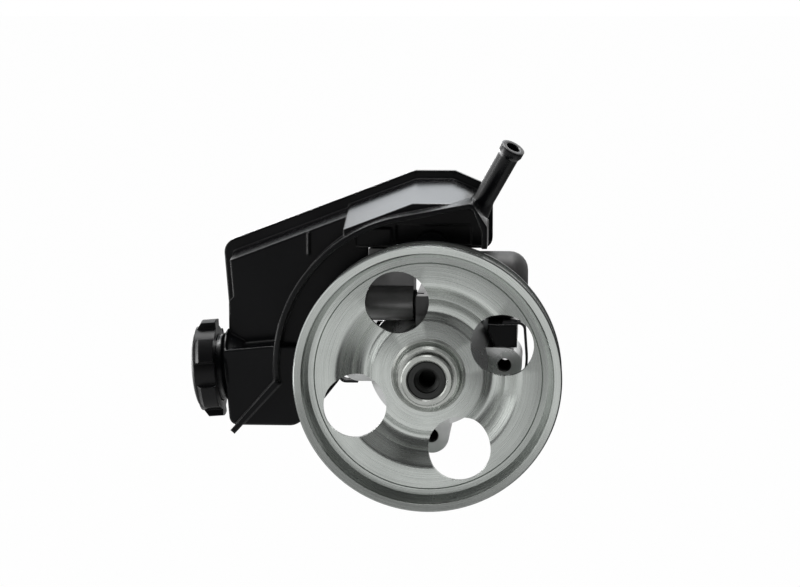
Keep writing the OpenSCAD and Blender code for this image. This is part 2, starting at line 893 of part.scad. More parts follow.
module cover_ring() {
    color([0.25, 0.25, 0.27])
        open_ring(chamber_r - 1.6, chamber_r + ring_groove_depth - seat_gap,
            cover_back_y + press_gap, cover_back_y + cover_ring_t - press_gap, 14);
}

// Outside of the valve barrel about its own axis: [radius, x]
function barrel_section() =
    concat(
        [[0, valve_seal_t], [valve_neck_r, valve_seal_t], [valve_neck_r, barrel_start_x]],
        [[barrel_r - 1, barrel_start_x], [barrel_r, barrel_start_x + 1]],
        [[barrel_r, barrel_end_x - barrel_dome_r]],
        [for (a = [15:15:90])
            [barrel_r - barrel_dome_r * (1 - cos(a)),
                barrel_end_x - barrel_dome_r * (1 - sin(a))]],
        [[0, barrel_end_x]]
    );

module on_barrel() {
    translate([0, barrel_y, barrel_z])
        rotate([0, 90, 0])
            children();
}

module valve_housing() {
    color([0.27, 0.27, 0.28])
        difference() {
            union() {
                on_barrel()
                    rotate_extrude()
                        polygon(barrel_section());
                translate([outlet_x, 0, barrel_z])
                    bar_y(outlet_boss_r, barrel_y, outlet_y);
            }
            on_barrel()
                translate([0, 0, spool_x - 5])
                    cylinder(r = spool_bore_d / 2, h = bore_end_x - spool_x + 5);
            // Feed from the body to the spool
            translate([feed_x, barrel_y, barrel_z - barrel_r])
                cylinder(r = feed_r, h = barrel_r);
            translate([outlet_x, 0, barrel_z])
                bar_y(outlet_tap_d / 2, outlet_y - outlet_depth, outlet_y + cut);
            translate([outlet_x, 0, barrel_z])
                bar_y(2.5, barrel_y, outlet_y);
        }
}

module flow_spool() {
    land = 4;
    waist_r = spool_r - 2;
    color([0.66, 0.67, 0.68])
        on_barrel()
            translate([0, 0, spool_x])
                rotate_extrude()
                    polygon([
                        [0, 0], [spool_r, 0], [spool_r, land], [waist_r, land],
                        [waist_r, spool_length - land], [spool_r, spool_length - land],
                        [spool_r, spool_length], [0, spool_length]
                    ]);
}

module valve_spring() {
    steps = 16;
    total = spring_turns * steps;
    rise = spring_length - 2 * spring_wire_r - 0.1;
    sides = 8;
    function coil_point(i, k) =
        let (
            a = i * 360 / steps,
            b = k * 360 / sides,
            r = spring_r + spring_wire_r * cos(b)
        )
        [r * cos(a), r * sin(a), spring_wire_r + 0.05 + rise * i / total + spring_wire_r * sin(b)];
    points = [for (i = [0:total]) for (k = [0:sides - 1]) coil_point(i, k)];
    color([0.5, 0.5, 0.52])
        on_barrel()
            translate([0, 0, spring_x])
                polyhedron(
                    points = points,
                    faces = concat(
                        [[for (k = [sides - 1:-1:0]) k]],
                        [[for (k = [0:sides - 1]) total * sides + k]],
                        [for (i = [0:total - 1]) for (k = [0:sides - 1])
                            [i * sides + (k + 1) % sides, (i + 1) * sides + k, i * sides + k]],
                        [for (i = [0:total - 1]) for (k = [0:sides - 1])
                            [i * sides + (k + 1) % sides, (i + 1) * sides + (k + 1) % sides,
                                (i + 1) * sides + k]]
                    )
                );
}

module valve_seal() {
    color([0.08, 0.08, 0.08])
        translate([0, barrel_y, barrel_z])
            difference() {
                bar_x(valve_neck_r, 0, valve_seal_t);
                bar_x(valve_neck_r - 2, -cut, valve_seal_t + cut);
            }
}

module suction_elbow() {
    under = wall_corners[4].y;
    depth = elbow_block_y[1] - elbow_block_y[0];
    color([0.25, 0.25, 0.26])
        difference() {
            union() {
                translate([0, elbow_y, elbow_z])
                    bar_x(elbow_r, elbow_left_x, cheek_x - elbow_seal_w);
                // Closed end with a smaller plug
                translate([0, elbow_y, elbow_z])
                    bar_x(elbow_r - 2.6, elbow_left_x - 2.5, elbow_left_x);
                translate([elbow_left_x, elbow_block_y[0], elbow_block_z])
                    cube([elbow_length - elbow_seal_w, depth, under - elbow_block_z - elbow_seal_w]);
            }
            translate([0, elbow_y, elbow_z])
                bar_x(elbow_bore_r, elbow_left_x + 3, cheek_x);
            // Rise to the tank
            translate([tank_outlet.x, tank_outlet.y, elbow_block_z + 3])
                cylinder(r = elbow_bore_r, h = under - elbow_block_z);
            translate([tank_outlet.x, 0, elbow_block_z + 6])
                bar_y(3.5, elbow_y, tank_outlet.y);
        }
}

// A flat ring that seals a joint of the elbow
module elbow_seal() {
    difference() {
        cylinder(r = elbow_bore_r + 1.2, h = elbow_seal_w);
        translate([0, 0, -cut])
            cylinder(r = elbow_bore_r, h = elbow_seal_w + 2 * cut);
    }
}

module suction_seals() {
    color([0.08, 0.08, 0.08]) {
        translate([cheek_x - elbow_seal_w, elbow_y, elbow_z])
            rotate([0, 90, 0])
                elbow_seal();
        translate([tank_outlet.x, tank_outlet.y, wall_corners[4].y - elbow_seal_w])
            elbow_seal();
    }
}

// The shroud's outline: an arc round the pulley, then a rise to the right and a side
function shroud_line(r) =
    let (rise = 5)
    concat(
        [for (a = [186:-4:98]) r * [cos(a), sin(a)]],
        corner([-10, r * 1.0], [tank_right_x - 9, r + rise], [tank_right_x - 3 + r - shroud_r, r], 3),
        [[tank_right_x - 4 + r - shroud_r, r - 6], [tank_right_x - 4 + r - shroud_r, tank_under_z + 5]]
    );

function shroud_outline() =
    let (inner = shroud_line(shroud_r), outer = shroud_line(shroud_r + shroud_t), n = len(inner))
    concat(outer, [for (i = [n - 1:-1:0]) inner[i]]);

// The shroud's front edge slopes back from its crest to the lower box
module shroud() {
    intersection() {
        slab(-shroud_front, panel_y + 1)
            polygon(shroud_outline());
        translate([tank_left_x, 0, 0])
            rotate([90, 0, 90])
                linear_extrude(-tank_left_x + tank_right_x)
                    polygon([
                        [panel_y + 1, -20], [-box_front - 1, -20], [-box_front - 1, -8],
                        [-shroud_front, shroud_r - 18], [-shroud_front, tank_top_z],
                        [panel_y + 1, tank_top_z]
                    ]);
    }
}

// Space inside the shroud, open to the front
module shroud_pocket(y0, y1) {
    slab(y0, y1)
        polygon(concat(shroud_line(shroud_r), [[0, 0]]));
}

pocket_y = -4;
recess = [-17, 56, 36, 12];
recess_depth = 6;
boss_r = 8;
boss_z = 57;
rib_top = [-73, -6.8];
rib_foot = [-95, -31.3];
rib_w = 3.4;
rib_rise = 4;
pad_at = [-36, 57.5];
pad_size = [17, 9];
pad_rise = 2;
panel_rib_at = [-61, 52];
panel_rib_size = [1.2, 11];
panel_rib_rise = 1.2;
barb_foot = [21.4, 8, 74];
barb_lean = [20, 29, 0];
bay_reach = 100;
side_reach = 60;
roof_cut_from = [-20, -60];
roof_cut_size = [120, 80, 40];

// Wall inside the shroud, between the bay and the left part, down to behind the pulley's rim
module shroud_wall() {
    inner_r = rim_r - 12;
    back_y = pocket_y + tank_wall;
    intersection() {
        difference() {
            slab(pocket_y, back_y)
                polygon(concat(shroud_line(shroud_r + shroud_t / 2), [[0, 0]]));
            bar_y(inner_r, pocket_y - cut, back_y + cut);
        }
        translate([tank_left_x, pocket_y - cut, -tank_top_z])
            cube([elbow_left_x - loose_gap - tank_left_x, tank_wall + 2 * cut, 2 * tank_top_z]);
    }
}

// Everything above the left part's roof, which drops towards the front, moved inwards by t
module above_roof(t) {
    translate([front_corners[10].x, weld_y, front_corners[10].y])
        rotate([0, -atan(bay_slope), 0])
            rotate([roof_tilt, 0, 0])
                translate([roof_cut_from.x, roof_cut_from.y, -t])
                    cube(roof_cut_size);
}

module front_outside() {
    // Left part of the tank
    difference() {
        intersection() {
            panel(front_corners, panel_y, weld_front_y + cut);
            translate([tank_left_x - side_reach, panel_y - cut, tank_bottom_z - cut])
                cube([bay_left_x - tank_left_x + side_reach + cut, side_reach, tank_top_z - tank_bottom_z]);
        }
        above_roof(0);
    }
    difference() {
        bay(0, -bay_front, weld_front_y + cut);
        shroud_pocket(-bay_front - cut, pocket_y);
    }
    panel(side_corners, panel_y, weld_front_y + cut);
    panel(box_corners, -box_front, weld_front_y + cut);
    panel(tank_corners, weld_front_y, weld_y);
    shroud();
    shroud_wall();
}

module front_inside() {
    difference() {
        intersection() {
            panel(inset(front_corners, tank_wall), panel_y + tank_wall, weld_y + cut);
            translate([tank_left_x - side_reach, panel_y, tank_bottom_z - cut])
                cube([
                    bay_left_x - tank_left_x + side_reach - tank_wall, side_reach,
                    tank_top_z - tank_bottom_z
                ]);
        }
        above_roof(tank_wall);
    }
    difference() {
        bay(tank_wall, -bay_front + tank_wall, weld_y + cut);
        shroud_pocket(-bay_front, pocket_y + tank_wall + recess_depth);
    }
    panel(inset(box_corners, tank_wall), -box_front + tank_wall, panel_y + tank_wall + cut);
    // Gap in the baffle between the bay and the left part
    translate([bay_left_x - 8, panel_y + tank_wall, bay_foot_z + tank_wall])
        cube([14, weld_y - panel_y, 4]);
}

// The neck narrows inside the tank, and its root has a fillet outside
neck_r = neck_d / 2;
neck_bore_r = neck_bore_d / 2;
neck_root = 9;
neck_taper = 4;

module filler_neck() {
    fillet = 2.5;
    on_neck()
        rotate_extrude()
            polygon([
                [0, -neck_root], [neck_r - neck_taper, -neck_root], [neck_r, -fillet],
                [neck_r + fillet, 1 - fillet], [neck_r, 1], [neck_r, neck_length], [0, neck_length]
            ]);
}

module neck_bore() {
    on_neck()
        rotate_extrude()
            polygon([
                [0, -neck_root - 5], [neck_bore_r - neck_taper, -neck_root - 5],
                [neck_bore_r - neck_taper, -neck_root], [neck_bore_r, 0],
                [neck_bore_r, neck_length + cut], [0, neck_length + cut]
            ]);
}

module return_barb() {
    on_barb() {
        cylinder(d = barb_d, h = barb_length);
        cylinder(d1 = barb_d + 2.4, d2 = barb_d, h = 8);
        translate([0, 0, barb_length - 5])
            cylinder(d1 = barb_d, d2 = bead_d, h = 2);
        translate([0, 0, barb_length - 3])
            cylinder(d = bead_d, h = 3);
    }
}

// Foot that rests on the left ear, with a link behind the clip to the tank's inner side
module left_foot() {
    difference() {
        union() {
            translate([-foot_x, foot_y, feet_z])
                cube([foot_w, foot_depth, foot_h]);
            translate([tank_inner_x - flange_w - roof_step - 1, clip_y + clip_w + 0.5, feet_z])
                cube([foot_x - 12, 7, foot_h]);
        }
        bar_y(body_r + loose_gap, -cut, body_depth);
    }
}

// Rib that runs from the shroud's tail to the box's lower left corner
module corner_rib() {
    along = unit(rib_foot - rib_top);
    half = rib_w / 2 * [-along.y, along.x];
    slab(-box_front - rib_rise, -box_front + cut)
        polygon([rib_top - half, rib_top + half, rib_foot + half * 0.8, rib_foot - half * 0.8]);
}

module reservoir_front() {
    color([0.05, 0.05, 0.055])
        difference() {
            union() {
                front_outside();
                filler_neck();
                return_barb();
                left_foot();
                corner_rib();
                // Boss in the recess of the pocket
                translate([0, 0, boss_z])
                    bar_y(boss_r, pocket_y + 2, pocket_y + recess_depth);
                // Pad beside the recess
                translate([pad_at.x, pocket_y - pad_rise, pad_at.y])
                    cube([pad_size.x, pad_rise + cut, pad_size.y]);
                // Stiffening rib on the left panel
                translate([panel_rib_at.x, panel_y - panel_rib_rise, panel_rib_at.y])
                    cube([panel_rib_size.x, panel_rib_rise + cut, panel_rib_size.y]);
            }
            front_inside();
            neck_bore();
            on_barb()
                translate([0, 0, -2])
                    cylinder(d = barb_bore_d, h = barb_length + 2 + cut);
            // Recess in the pocket, round its boss
            difference() {
                translate([recess[0], pocket_y - cut, recess[1]])
                    cube([recess[2], recess_depth - tank_wall + cut, recess[3]]);
                translate([0, 0, boss_z])
                    bar_y(boss_r, pocket_y, pocket_y + recess_depth);
            }
            // Outlet to the suction elbow
            translate([tank_outlet.x, tank_outlet.y, wall_corners[4].y - cut])
                cylinder(r = elbow_bore_r, h = tank_wall + 2 * cut);
        }
}

// Arm that carries the right foot down behind the pump, clear of the outlet's thread
module right_foot() {
    arm_y = rear_y - 8;
    arm_t = 7;
    arm_x = [6, 17];
    arm_top_z = 62;
    bend_z = feet_z + foot_h + 2;
    foot_inner_x = foot_x - foot_w;
    difference() {
        translate([foot_inner_x, foot_y, feet_z])
            cube([foot_w, arm_y + arm_t - foot_y, foot_h]);
        bar_y(body_r + loose_gap, -cut, rear_y);
    }
    panel([[foot_inner_x, feet_z, 0], [foot_x, feet_z, 0], [foot_x, feet_z + foot_h, 3],
        [arm_x[1], bend_z, 8], [arm_x[1], arm_top_z, 0], [arm_x[0], arm_top_z, 0],
        [arm_x[0], bend_z - 6, 8]],
        arm_y, arm_y + arm_t);
}

module reservoir_rear() {
    edge = 2.5;
    color([0.05, 0.05, 0.055])
        difference() {
            union() {
                panel(wall_corners, weld_y, rear_y - edge);
                panel(inset(wall_corners, edge / 2), weld_y, rear_y);
                panel(tank_corners, weld_y, weld_back_y);
                right_foot();
            }
            panel(inset(wall_corners, edge / 2 + tank_wall), weld_y - cut, rear_y - tank_wall);
        }
}

module strainer() {
    floor_z = wall_corners[4].y + tank_wall;
    color([0.75, 0.7, 0.5])
        translate([tank_outlet.x, tank_outlet.y, floor_z])
            difference() {
                cylinder(r = elbow_bore_r + 1.5, h = 6);
                translate([0, 0, -cut])
                    cylinder(r = elbow_bore_r + 0.3, h = 6);
                for (a = [0:60:300])
                    rotate([0, 0, a])
                        translate([elbow_bore_r - 2, -1.2, 1.5])
                            cube([6, 2.4, 2.4]);
            }
}

// A bent strip that hooks over the foot and under the ear, drawn for the right side
module clip_strip() {
    top = feet_z + foot_h + clip_t / 2 + 0.05;
    side = ear_pitch_r + ear_r + clip_t / 2 + 0.4;
    under = -ear_r - clip_t / 2 - 0.05;
    bend = 3;
    line = concat(
        [[foot_x - 7, top]],
        corner([foot_x - 7, top], [side, top], [side + 1.4, 4], bend),
        corner([side, top], [side + 1.4, 2], [side, under], 30),
        corner([side + 1.4, 2], [side, under], [side - 8, under], bend),
        [[side - 8.5, under]]
    );
    n = len(line);
    half = clip_t / 2;
    function side_step(i) =
        let (d = unit(line[min(i + 1, n - 1)] - line[max(i - 1, 0)]))
        half * [-d.y, d.x];
    slab(clip_y, clip_y + clip_w)
        polygon(concat(
            [for (i = [0:n - 1]) line[i] + side_step(i)],
            [for (i = [n - 1:-1:0]) line[i] - side_step(i)]
        ));
}

module reservoir_clips() {
    color([0.07, 0.07, 0.075]) {
        clip_strip();
        mirror([1, 0, 0])
            clip_strip();
    }
}

// Half width of a grip lobe, in degrees
lobe_half = 90 / cap_lobes;

module filler_cap() {
    core_r = cap_core_d / 2;
    lobe_r = cap_d / 2;
    skirt_r = neck_d / 2 + 0.5;
    top = cap_standoff + cap_grip_h;
    color([0.05, 0.05, 0.055])
        on_neck()
            difference() {
                union() {
                    translate([0, 0, cap_standoff])
                        cylinder(r = core_r, h = cap_grip_h);
                    // Grip lobes with a sloped outer end
                    intersection() {
                        for (i = [0:cap_lobes - 1])
                            rotate([0, 0, i * 360 / cap_lobes])
                                linear_extrude(top)
                                    polygon([[0, 0],
                                        2 * lobe_r * [cos(lobe_half), -sin(lobe_half)],
                                        2 * lobe_r * [cos(lobe_half), sin(lobe_half)]]);
                        translate([0, 0, cap_standoff])
                            rotate_extrude()
                                polygon([[0, 0], [lobe_r, 0], [lobe_r, cap_grip_h - 3],
                                    [core_r - 1, cap_grip_h], [0, cap_grip_h]]);
                    }
                    // Domed end
                    translate([0, 0, top])
                        rotate_extrude()
                            polygon(concat([[0, 0]],
                                [for (a = [0:15:90])
                                    [core_r - 1.4 - (core_r - 9) * (1 - cos(a)), cap_dome_h * sin(a)]],
                                [[0, cap_dome_h]]));
                }
                translate([0, 0, cap_standoff - cut])
                    cylinder(r = skirt_r, h = neck_length - cap_standoff + 1.6 + cut);
            }
}

module cap_seal() {
    color([0.12, 0.12, 0.12])
        on_neck()
            translate([0, 0, neck_length])
                difference() {
                    cylinder(d = neck_d - 0.6, h = 1.5);
                    translate([0, 0, -cut])
                        cylinder(d = neck_bore_d, h = 1.5 + 2 * cut);
                }
}

pulley();
pulley_hub();
pump_shaft();
pump_housing();
bearing_outer_race();
bearing_inner_race();
bearing_balls();
bearing_cage();
bearing_circlip();
shaft_seal();
wear_plate();
cam_ring();
rotor();
vanes();
rotor_clip();
pressure_plate();
plate_spring();
dowel_pins();
rear_cover();
cover_seal();
cover_ring();
valve_housing();
flow_spool();
valve_spring();
valve_seal();
suction_elbow();
suction_seals();
reservoir_front();
reservoir_rear();
strainer();
reservoir_clips();
filler_cap();
cap_seal();
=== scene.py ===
import math

import bpy
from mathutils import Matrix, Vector


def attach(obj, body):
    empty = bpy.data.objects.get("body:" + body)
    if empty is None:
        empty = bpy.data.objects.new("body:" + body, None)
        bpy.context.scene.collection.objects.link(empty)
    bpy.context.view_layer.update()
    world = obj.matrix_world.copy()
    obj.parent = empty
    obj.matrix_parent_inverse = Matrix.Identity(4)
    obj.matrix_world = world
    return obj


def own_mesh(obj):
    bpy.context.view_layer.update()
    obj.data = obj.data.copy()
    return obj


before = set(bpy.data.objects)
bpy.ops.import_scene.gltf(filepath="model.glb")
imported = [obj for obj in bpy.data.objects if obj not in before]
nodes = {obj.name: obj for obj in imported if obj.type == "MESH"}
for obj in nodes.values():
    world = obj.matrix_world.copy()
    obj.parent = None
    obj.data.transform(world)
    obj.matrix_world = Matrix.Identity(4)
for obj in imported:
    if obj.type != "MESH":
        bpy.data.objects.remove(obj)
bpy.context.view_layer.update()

MM = 0.001

# Where the pulley's shading changes, by the distance from the shaft axis
DISH_RADIUS = 27 * MM
DISH_WIDTH = 9 * MM
LIP_RADIUS = 57.5 * MM
LIP_STEP = 1.2 * MM
LIP_STEP_SLOPE = 0.5
PAST_THE_RIM = 1.0
# Painted shade on the rim's outside begins at this radius
RIM_SHADE_RADIUS = 61.7 * MM
RIM_SHADE_FADE = 0.5 * MM

# Painted shade on the casting's upper part, which lies in the shade of the reservoir and the pulley: it
# darkens between two heights
PAINTED_SHADE_STARTS = 18 * MM
PAINTED_SHADE_FULL = 26 * MM
PAINTED_SHADE_TONE = (0.07, 0.07, 0.07)

# The part of a noise's range that is spread over a finish
NOISE_LOW = 0.3
NOISE_HIGH = 0.7


# Shader helpers

def add_node(tree, kind, **settings):
    """Adds a shader node, sets its plain properties and returns it."""
    made = tree.nodes.new(kind)
    for name, value in settings.items():
        setattr(made, name, value)
    return made


def feed(tree, value, socket):
    """Links an output socket to an input, or sets a plain value on it."""
    if isinstance(value, bpy.types.NodeSocket):
        tree.links.new(value, socket)
    else:
        socket.default_value = value


def math_node(tree, operation, first, second=0.0):
    made = add_node(tree, "ShaderNodeMath", operation=operation)
    feed(tree, first, made.inputs[0])
    feed(tree, second, made.inputs[1])
    return made.outputs[0]


def add(tree, first, second):
    return math_node(tree, "ADD", first, second)


def times(tree, first, second):
    return math_node(tree, "MULTIPLY", first, second)


def map_range(tree, value, low, high, to_low, to_high):
    made = add_node(tree, "ShaderNodeMapRange")
    for socket, item in zip(made.inputs, (value, low, high, to_low, to_high)):
        feed(tree, item, socket)
    return made.outputs["Result"]


def mix_colour(tree, factor, first, second):
    made = add_node(tree, "ShaderNodeMix", data_type="RGBA")
    feed(tree, factor, made.inputs["Factor"])
    feed(tree, first, made.inputs["A"])
    feed(tree, second, made.inputs["B"])
    return made.outputs["Result"]


def noise(tree, vector, scale, detail, roughness=0.55):
    made = add_node(tree, "ShaderNodeTexNoise")
    feed(tree, vector, made.inputs["Vector"])
    feed(tree, scale, made.inputs["Scale"])
    feed(tree, detail, made.inputs["Detail"])
    feed(tree, roughness, made.inputs["Roughness"])
    return made.outputs["Fac"]


def object_place(tree):
    return add_node(tree, "ShaderNodeTexCoord").outputs["Object"]


def object_xyz(tree):
    split = add_node(tree, "ShaderNodeSeparateXYZ")
    feed(tree, object_place(tree), split.inputs[0])
    return split.outputs


def opaque(colour):
    return (*colour, 1)


# Effects that several finishes share

def new_group(name, inputs, outputs):
    """Makes a shader node group with float inputs (name, default) and float outputs."""
    group = bpy.data.node_groups.new(name, "ShaderNodeTree")
    for label, default in inputs:
        socket = group.interface.new_socket(label, in_out="INPUT", socket_type="NodeSocketFloat")
        socket.default_value = default
    for label in outputs:
        group.interface.new_socket(label, in_out="OUTPUT", socket_type="NodeSocketFloat")
    entry = add_node(group, "NodeGroupInput")
    leave = add_node(group, "NodeGroupOutput")
    return group, entry.outputs, leave.inputs


def grain_group():
    """Fine and coarse noise of a surface, for casting grain, moulded skin and stains."""
    inputs = [("Fine", 900.0), ("Coarse", 40.0)]
    group, given, result = new_group("surface_grain", inputs, ["Fine", "Coarse"])
    place = object_place(group)
    feed(group, noise(group, place, given["Fine"], 4.0), result["Fine"])
    feed(group, noise(group, place, given["Coarse"], 5.0, 0.6), result["Coarse"])
    return group


def turning_group():
    """Rings left by turning about the shaft axis: they change with radius and hardly with angle."""
    band_share = 0.22
    depth_share = 0.2
    inputs = [("Density", 900.0), ("Sweep", 1.2)]
    group, given, result = new_group("turning_marks", inputs, ["Rings", "Bands", "Radius"])
    x, y, z = object_xyz(group)
    radius = math_node(group, "SQRT", add(group, times(group, x, x), times(group, z, z)))
    never_zero = add(group, radius, 1e-5)
    profile = add(group, radius, times(group, y, depth_share))

    def ring_noise(density, detail):
        place = add_node(group, "ShaderNodeCombineXYZ")
        feed(group, times(group, profile, density), place.inputs[0])
        for part, socket in ((x, place.inputs[1]), (z, place.inputs[2])):
            share = math_node(group, "DIVIDE", part, never_zero)
            feed(group, times(group, share, given["Sweep"]), socket)
        return noise(group, place.outputs[0], 1.0, detail)

    feed(group, radius, result["Radius"])
    feed(group, ring_noise(given["Density"], 5.0), result["Rings"])
    feed(group, ring_noise(times(group, given["Density"], band_share), 2.0), result["Bands"])
    return group


GRAIN = grain_group()
TURNING = turning_group()


def place_group(tree, group, **values):
    made = add_node(tree, "ShaderNodeGroup")
    made.node_tree = group
    for name, value in values.items():
        made.inputs[name].default_value = value
    return made.outputs


# The two kinds of finish

def material(name):
    """A new material, its node tree and its Principled shader."""
    made = bpy.data.materials.new(name)
    made.use_nodes = True
    return made, made.node_tree, made.node_tree.nodes["Principled BSDF"]


def bump(tree, shader, height, distance, base=None):
    """Fine relief from a height, on the given base normal if there is one."""
    made = add_node(tree, "ShaderNodeBump")
    feed(tree, height, made.inputs["Height"])
    made.inputs["Distance"].default_value = distance
    if base:
        feed(tree, base, made.inputs["Normal"])
    feed(tree, made.outputs[0], shader.inputs["Normal"])


def rounded_normal(tree, radius):
    """The normal that sharp edges would have if they were rounded."""
    made = add_node(tree, "ShaderNodeBevel", samples=6)
    made.inputs["Radius"].default_value = radius
    return made.outputs[0]


def around_shaft(tree):
    """The direction of turning about the shaft axis at each point, in the world."""
    x, _, z = object_xyz(tree)
    way = add_node(tree, "ShaderNodeCombineXYZ")
    feed(tree, times(tree, z, -1.0), way.inputs[0])
    feed(tree, x, way.inputs[2])
    turn = add_node(tree, "ShaderNodeVectorTransform", vector_type="VECTOR", convert_from="OBJECT",
                    convert_to="WORLD")
    feed(tree, way.outputs[0], turn.inputs[0])
    return turn.outputs[0]


def streak_highlights(tree, shader, amount):
    """Stretches highlights across the turning rings."""
    quarter_turn = 0.25
    shader.inputs["Anisotropic"].default_value = amount
    shader.inputs["Anisotropic Rotation"].default_value = quarter_turn
    feed(tree, around_shaft(tree), shader.inputs["Tangent"])


def turned_height(tree, rings, depth, crown, lip, dish):
    """The height of turned faces in units of depth. They fall by crown per unit of radius. Where there is a
    lip, they rise by lip outside it, steeply at its step, and by dish across the dish."""
    height = add(tree, rings["Rings"], times(tree, rings["Radius"], -crown / depth))
    if not lip:
        return height
    slopes = [(LIP_RADIUS, PAST_THE_RIM, crown + lip),
              (LIP_RADIUS, LIP_STEP, LIP_STEP_SLOPE),
              (DISH_RADIUS, DISH_WIDTH, dish)]
    for start, width, slope in slopes:
        rise = map_range(tree, rings["Radius"], start, start + width, 0.0, width * slope / depth)
        height = add(tree, height, rise)
    return height


def turned_metal(name, light, dark, rough, density, depth, streak=0.0, crown=0.0, lip=0.0, dish=0.0,
                 rim_shade_tone=None):
    """Metal with fine turning rings and faint stains, and painted shade on the rim's outside when its tone is
    given.
    """
    band_share, stain_share = 0.55, 0.45
    smoother, rougher = 0.06, 0.08
    made, tree, shader = material(name)
    rings = place_group(tree, TURNING, Density=density)
    stains = place_group(tree, GRAIN, Fine=2500.0, Coarse=60.0)
    marks = add(tree, times(tree, rings["Bands"], band_share), times(tree, stains["Coarse"], stain_share))
    tone = map_range(tree, marks, 0.32, 0.68, 0.0, 1.0)
    colour = mix_colour(tree, tone, opaque(dark), opaque(light))
    # Painted shade on the outside of the rim
    if rim_shade_tone:
        rim_shaded = map_range(tree, rings["Radius"], RIM_SHADE_RADIUS, RIM_SHADE_RADIUS + RIM_SHADE_FADE, 0.0, 1.0)
        colour = mix_colour(tree, rim_shaded, colour, opaque(rim_shade_tone))
    feed(tree, colour, shader.inputs["Base Color"])
    matt = map_range(tree, rings["Rings"], NOISE_LOW, NOISE_HIGH, rough - smoother, rough + rougher)
    feed(tree, matt, shader.inputs["Roughness"])
    shader.inputs["Metallic"].default_value = 1.0
    if streak:
        streak_highlights(tree, shader, streak)
    bump(tree, shader, turned_height(tree, rings, depth, crown, lip, dish), depth)
    return made


def coat_at_a_slant(tree, shader, normal, weight, rough):
    """A clear coat that shows where the surface turns away from the eye."""
    first_seen, fully_seen = 0.05, 0.3
    slant = add_node(tree, "ShaderNodeLayerWeight")
    feed(tree, normal, slant.inputs["Normal"])
    shown = map_range(tree, slant.outputs["Facing"], first_seen, fully_seen, 0.0, weight)
    feed(tree, shown, shader.inputs["Coat Weight"])
    feed(tree, normal, shader.inputs["Coat Normal"])
    shader.inputs["Coat Roughness"].default_value = rough


def with_painted_shade(tree, colour):
    """The colour with painted shade over it, starting at the lower height and full at the upper one."""
    painted_shade_share = map_range(tree, object_xyz(tree)["Z"], PAINTED_SHADE_STARTS, PAINTED_SHADE_FULL, 0.0, 1.0)
    return mix_colour(tree, painted_shade_share, colour, opaque(PAINTED_SHADE_TONE))


def grainy(name, light, dark, rough, metallic=0.0, fine=900.0, coarse=40.0, depth=2e-5, spread=0.08,
           gloss=0.5, slant_coat=0.0, edge=0.0, painted_top_shade=False):
    """A surface with fine grain in its height and broad patches in its tone and gloss."""
    made, tree, shader = material(name)
    marks = place_group(tree, GRAIN, Fine=fine, Coarse=coarse)
    tone = map_range(tree, marks["Coarse"], NOISE_LOW, NOISE_HIGH, 0.0, 1.0)
    colour = mix_colour(tree, tone, opaque(dark), opaque(light))
    # Painted shade: the upper part of the surface is darkened
    if painted_top_shade:
        colour = with_painted_shade(tree, colour)
    feed(tree, colour, shader.inputs["Base Color"])
    matt = map_range(tree, marks["Coarse"], NOISE_LOW, NOISE_HIGH, rough + spread, rough - spread)
    feed(tree, matt, shader.inputs["Roughness"])
    shader.inputs["Metallic"].default_value = metallic
    shader.inputs["Specular IOR Level"].default_value = gloss
    rounded = rounded_normal(tree, edge) if edge else None
    bump(tree, shader, marks["Fine"], depth, rounded)
    if slant_coat:
        coat_at_a_slant(tree, shader, rounded, slant_coat, rough)
    return made


# Materials

def zinc_plate():
    return turned_metal("zinc_plate", (0.63, 0.66, 0.635), (0.53, 0.557, 0.533), rough=0.24, density=2200.0,
                        depth=6e-6, streak=0.75, crown=0.05, lip=0.15, dish=0.2, rim_shade_tone=(0.22, 0.23, 0.225))


def zinc_hub():
    return turned_metal("zinc_hub", (0.62, 0.64, 0.61), (0.45, 0.465, 0.44), rough=0.24, density=2600.0,
                        depth=8e-6, streak=0.7)


def shaft_steel():
    return turned_metal("shaft_steel", (0.08, 0.082, 0.08), (0.052, 0.054, 0.052), rough=0.45, density=5200.0,
                        depth=1e-5)


def ground_steel():
    return turned_metal("ground_steel", (0.32, 0.33, 0.33), (0.22, 0.23, 0.23), rough=0.38, density=5200.0,
                        depth=1e-5)


def bearing_steel():
    return grainy("bearing_steel", (0.62, 0.63, 0.64), (0.55, 0.56, 0.57), rough=0.16, metallic=1.0,
                  depth=2e-6)


def die_cast():
    # Its upper part gets painted shade, for the shade under the reservoir and behind the pulley
    return grainy("die_cast", (0.68, 0.69, 0.685), (0.54, 0.55, 0.545), rough=0.3, metallic=1.0,
                  fine=1400.0, coarse=55.0, depth=4e-5, painted_top_shade=True)


def cut_thread():
    return grainy("cut_thread", (0.16, 0.16, 0.155), (0.10, 0.10, 0.097), rough=0.38, metallic=1.0,
                  fine=1800.0, coarse=70.0, depth=1e-5)


def dark_metal():
    return grainy("dark_metal", (0.085, 0.083, 0.083), (0.06, 0.059, 0.059), rough=0.52, metallic=0.1,
                  fine=1600.0, coarse=60.0, gloss=0.3)


def dark_metal_painted_lighter():
    # A lighter copy of dark_metal: painted light that makes up for the shade the elbow sits in behind the
    # pulley
    return grainy("dark_metal_painted_lighter", (0.25, 0.248, 0.248), (0.19, 0.188, 0.188), rough=0.4, metallic=0.5,
                  fine=1600.0, coarse=60.0)


def black_plastic():
    return grainy("black_plastic", (0.005, 0.0054, 0.0064), (0.0032, 0.0035, 0.0042), rough=0.22,
                  fine=2600.0, coarse=30.0, depth=4e-6, spread=0.05, gloss=0.12, slant_coat=1.0,
                  edge=1.6 * MM)


def cap_plastic():
    return grainy("cap_plastic", (0.006, 0.006, 0.0068), (0.004, 0.004, 0.0045), rough=0.34,
                  fine=2600.0, coarse=30.0, depth=4e-6, spread=0.05, gloss=0.18, edge=0.8 * MM)


